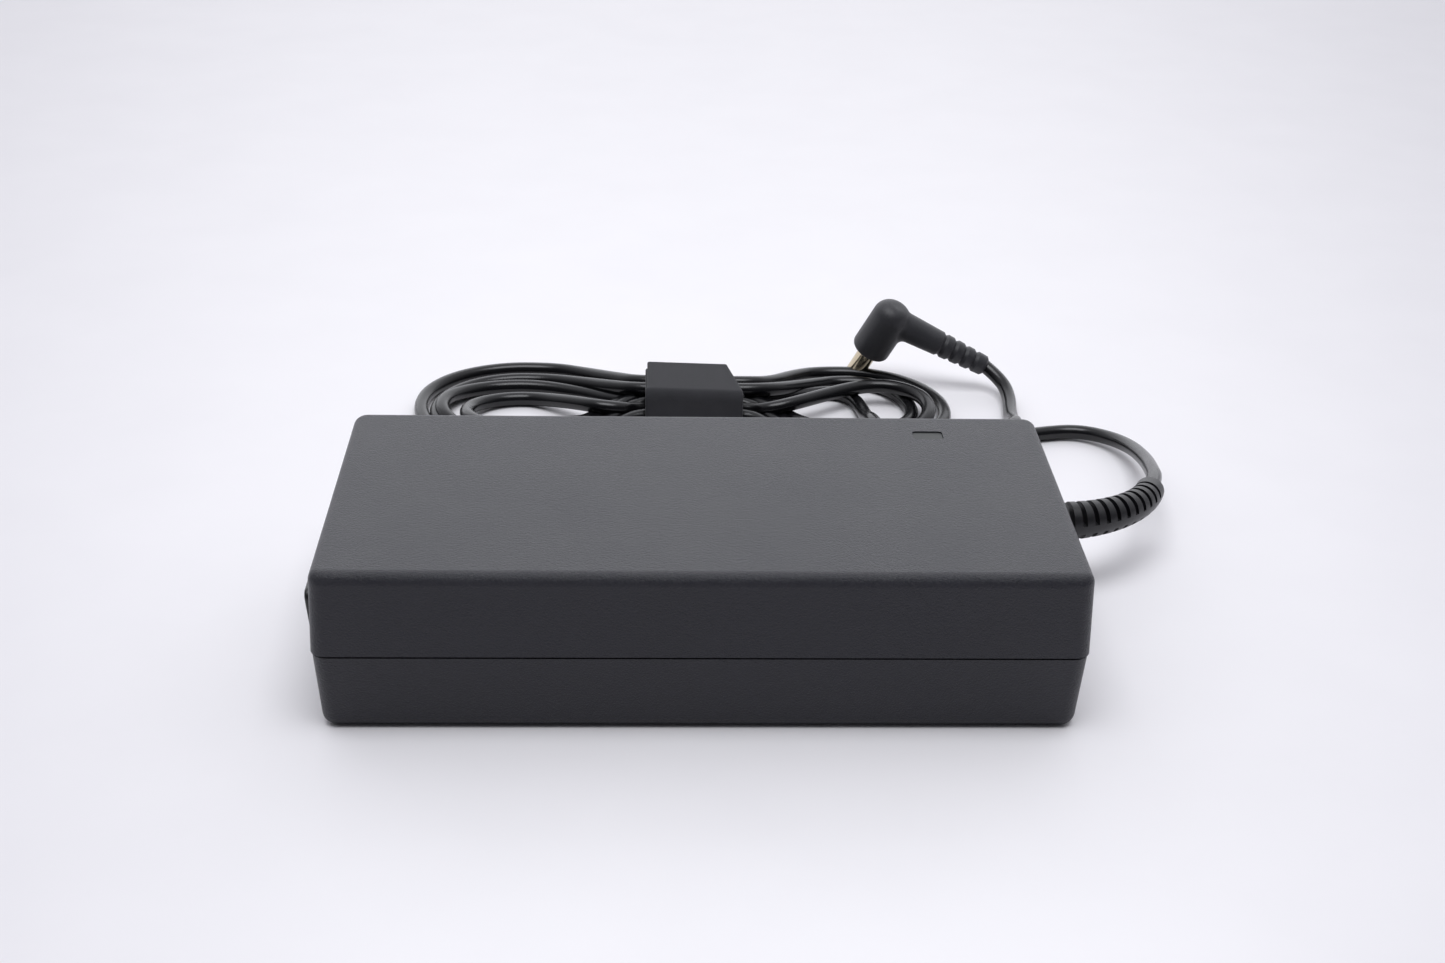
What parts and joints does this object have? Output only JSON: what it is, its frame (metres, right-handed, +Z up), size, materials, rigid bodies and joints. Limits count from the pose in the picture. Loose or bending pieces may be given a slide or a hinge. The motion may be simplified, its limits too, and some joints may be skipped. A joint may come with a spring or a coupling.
{
  "type": "laptop power adapter",
  "caption": "Low rectangular mains power adapter for a laptop, with a mains inlet at one end and a DC cord wound into a tied hank, ending in a right-angle barrel plug.",
  "frame": {"origin": "on the resting surface, under the middle of the housing with its inlet's rim", "axes": "+X along the housing from the mains inlet to the DC cord, +Y from the front long side to the rear one, +Z up"},
  "size_m": [0.2016, 0.1861, 0.0372],
  "materials": {
    "housing": "fine leather-like grain",
    "inlet": "smooth moulded",
    "contact_metal": "bright plated",
    "light_guide": "clear moulded",
    "led": "clear epoxy",
    "sheet_metal": "mill finish",
    "film": "translucent film",
    "board": "solder mask",
    "boxed_part": "moulded box",
    "dark_part": "moulded epoxy",
    "disc_part": "dipped coating",
    "ferrite": "sintered",
    "copper": "enamelled wire",
    "tape": "polyester tape",
    "can": "shrink sleeve",
    "spring": "spring steel",
    "wire": "insulated",
    "relief": "soft moulded",
    "cord": "smooth jacket",
    "strap": "woven",
    "plug": "soft moulded",
    "barrel": "nickel plated",
    "insulator": "moulded"
  },
  "bodies": {
    "adapter": {"top_cover": "housing", "bottom_cover": "housing", "ac_inlet_body": "inlet", "inlet_blades": "contact_metal", "indicator_light_guide": "light_guide", "indicator_led": "led", "upper_heat_spreader": "sheet_metal", "insulating_film": "film", "lower_heat_spreader": "sheet_metal", "bottom_insulating_sheet": "film", "circuit_board": "board", "fuse": "boxed_part", "thermistor": "disc_part", "y_capacitors": "disc_part", "x_capacitor": "boxed_part", "common_mode_choke_core": "ferrite", "common_mode_choke_windings": "copper", "bridge_rectifier": "dark_part", "boost_inductor_core": "ferrite", "boost_inductor_winding": "tape", "primary_heatsink": "sheet_metal", "primary_transistors": "dark_part", "transistor_clips": "spring", "bulk_capacitor": "can", "transformer_core": "ferrite", "transformer_winding": "tape", "control_chips": "dark_part", "optocouplers": "dark_part", "secondary_heatsink": "sheet_metal", "output_rectifiers": "dark_part", "output_choke": "ferrite", "output_capacitors": "can", "dc_wires": "wire", "strain_relief": "relief", "cord_lead": "cord", "cord_hank": "cord", "cord_tail": "cord", "strap_band": "strap", "plug_housing": "plug", "plug_barrel": "barrel", "plug_insulator": "insulator", "plug_centre_contact": "barrel"},
    "strap_end": {"strap_tail": "strap"}
  },
  "joints": [
    {"name": "strap_peel", "type": "hinge", "parent": "adapter", "child": "strap_end", "pos_m": [0.0021, 0.10955, 0.0082], "axis": [1, 0, 0], "range_deg": [0, 90]}
  ]
}
